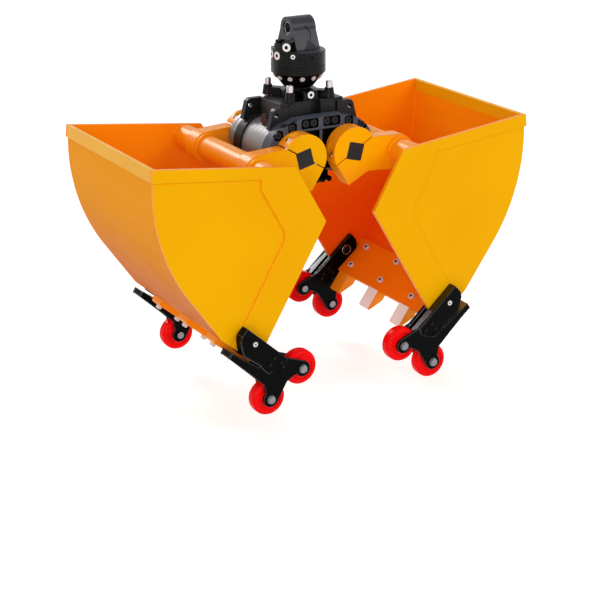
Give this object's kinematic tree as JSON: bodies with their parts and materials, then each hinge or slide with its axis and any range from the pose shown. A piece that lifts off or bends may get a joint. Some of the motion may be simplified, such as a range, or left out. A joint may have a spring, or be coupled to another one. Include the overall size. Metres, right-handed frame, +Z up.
{
  "type": "concrete ring grab",
  "caption": "Hydraulic clamshell grab with a rotary drive, a rotator with a lug on top, and roller frames on the shells' lower corners for work inside concrete shaft rings.",
  "frame": {"origin": "centre of the pin bore in the rotator's lug", "axes": "+X along the lug's bore, towards the right-hand shell; +Y along the shafts, away from the front; +Z up"},
  "size_m": [1.4646, 0.784, 1.2754],
  "materials": {
    "black_paint": "satin black powder coat",
    "plate_grey": "satin blue-grey paint",
    "yellow": "satin yellow-orange powder coat",
    "orange": "satin orange powder coat",
    "silver": "zinc-plated steel",
    "tube_silver": "ground and clear-coated tube",
    "steel": "machined steel",
    "dark_steel": "blackened steel",
    "bronze": "bearing bronze",
    "plug_white": "moulded port plug",
    "wheel_red": "cast polyurethane tyre"
  },
  "bodies": {
    "rotator": {"rotator_housing": "black_paint", "lug_bush": "steel", "rotator_cover": "black_paint", "cover_bolts": "silver", "port_plugs": "plug_white", "hose_fitting": "black_paint", "slew_ring": "steel"},
    "drive": {"rotor_flange": "black_paint", "flange_studs": "silver", "flange_plug": "plug_white", "suspension_yoke": "black_paint", "rear_saddle": "black_paint", "drive_tube_left": "tube_silver", "drive_tube_right": "tube_silver", "front_end_plate": "plate_grey", "rear_end_plate": "plate_grey", "end_plate_bolts": "steel", "valve_block": "black_paint", "shaft_bushes": "bronze"},
    "right_shell": {"shaft_right": "dark_steel", "arm_front_right": "yellow", "arm_rear_right": "yellow", "hub_caps_right": "yellow", "cap_bolts_right": "silver", "torque_tube_right": "orange", "side_front_right": "yellow", "side_rear_right": "yellow", "back_plate_right": "orange", "rim_bar_right": "yellow", "cutting_plate_right": "orange", "teeth_right": "orange", "tooth_bolts_right": "silver", "roller_frame_front_right": "black_paint", "roller_frame_rear_right": "black_paint", "roller_hardware_right": "silver"},
    "wheel_front_inner_right": {"wheel_front_inner_right": "wheel_red"},
    "wheel_front_outer_right": {"wheel_front_outer_right": "wheel_red"},
    "wheel_rear_inner_right": {"wheel_rear_inner_right": "wheel_red"},
    "wheel_rear_outer_right": {"wheel_rear_outer_right": "wheel_red"},
    "left_shell": {"shaft_left": "dark_steel", "arm_front_left": "yellow", "arm_rear_left": "yellow", "hub_caps_left": "yellow", "cap_bolts_left": "silver", "torque_tube_left": "orange", "side_front_left": "yellow", "side_rear_left": "yellow", "back_plate_left": "orange", "rim_bar_left": "yellow", "cutting_plate_left": "orange", "teeth_left": "orange", "tooth_bolts_left": "silver", "roller_frame_front_left": "black_paint", "roller_frame_rear_left": "black_paint", "roller_hardware_left": "silver"},
    "wheel_front_inner_left": {"wheel_front_inner_left": "wheel_red"},
    "wheel_front_outer_left": {"wheel_front_outer_left": "wheel_red"},
    "wheel_rear_inner_left": {"wheel_rear_inner_left": "wheel_red"},
    "wheel_rear_outer_left": {"wheel_rear_outer_left": "wheel_red"}
  },
  "joints": [
    {"name": "rotator_spin", "type": "hinge", "parent": "rotator", "child": "drive", "pos_m": [0, 0, -0.205], "axis": [0, 0, 1], "continuous": true},
    {"name": "right_swing", "type": "hinge", "parent": "drive", "child": "right_shell", "pos_m": [0.1, 0, -0.405], "axis": [0, -1, 0], "range_deg": [-11.8, 16]},
    {"name": "wheel_front_inner_right_spin", "type": "hinge", "parent": "right_shell", "child": "wheel_front_inner_right", "pos_m": [0.20633, -0.35, -1.0888], "axis": [0, 1, 0], "continuous": true},
    {"name": "wheel_front_outer_right_spin", "type": "hinge", "parent": "right_shell", "child": "wheel_front_outer_right", "pos_m": [0.33167, -0.35, -1.17544], "axis": [0, 1, 0], "continuous": true},
    {"name": "wheel_rear_inner_right_spin", "type": "hinge", "parent": "right_shell", "child": "wheel_rear_inner_right", "pos_m": [0.20633, 0.35, -1.0888], "axis": [0, 1, 0], "continuous": true},
    {"name": "wheel_rear_outer_right_spin", "type": "hinge", "parent": "right_shell", "child": "wheel_rear_outer_right", "pos_m": [0.33167, 0.35, -1.17544], "axis": [0, 1, 0], "continuous": true},
    {"name": "left_swing", "type": "hinge", "parent": "drive", "child": "left_shell", "pos_m": [-0.1, 0, -0.405], "axis": [0, 1, 0], "range_deg": [-11.8, 16]},
    {"name": "wheel_front_inner_left_spin", "type": "hinge", "parent": "left_shell", "child": "wheel_front_inner_left", "pos_m": [-0.20633, -0.35, -1.0888], "axis": [0, 1, 0], "continuous": true},
    {"name": "wheel_front_outer_left_spin", "type": "hinge", "parent": "left_shell", "child": "wheel_front_outer_left", "pos_m": [-0.33167, -0.35, -1.17544], "axis": [0, 1, 0], "continuous": true},
    {"name": "wheel_rear_inner_left_spin", "type": "hinge", "parent": "left_shell", "child": "wheel_rear_inner_left", "pos_m": [-0.20633, 0.35, -1.0888], "axis": [0, 1, 0], "continuous": true},
    {"name": "wheel_rear_outer_left_spin", "type": "hinge", "parent": "left_shell", "child": "wheel_rear_outer_left", "pos_m": [-0.33167, 0.35, -1.17544], "axis": [0, 1, 0], "continuous": true}
  ],
  "couplings": [
    {"joint": "left_swing", "follows": "right_swing", "ratio": 1}
  ]
}
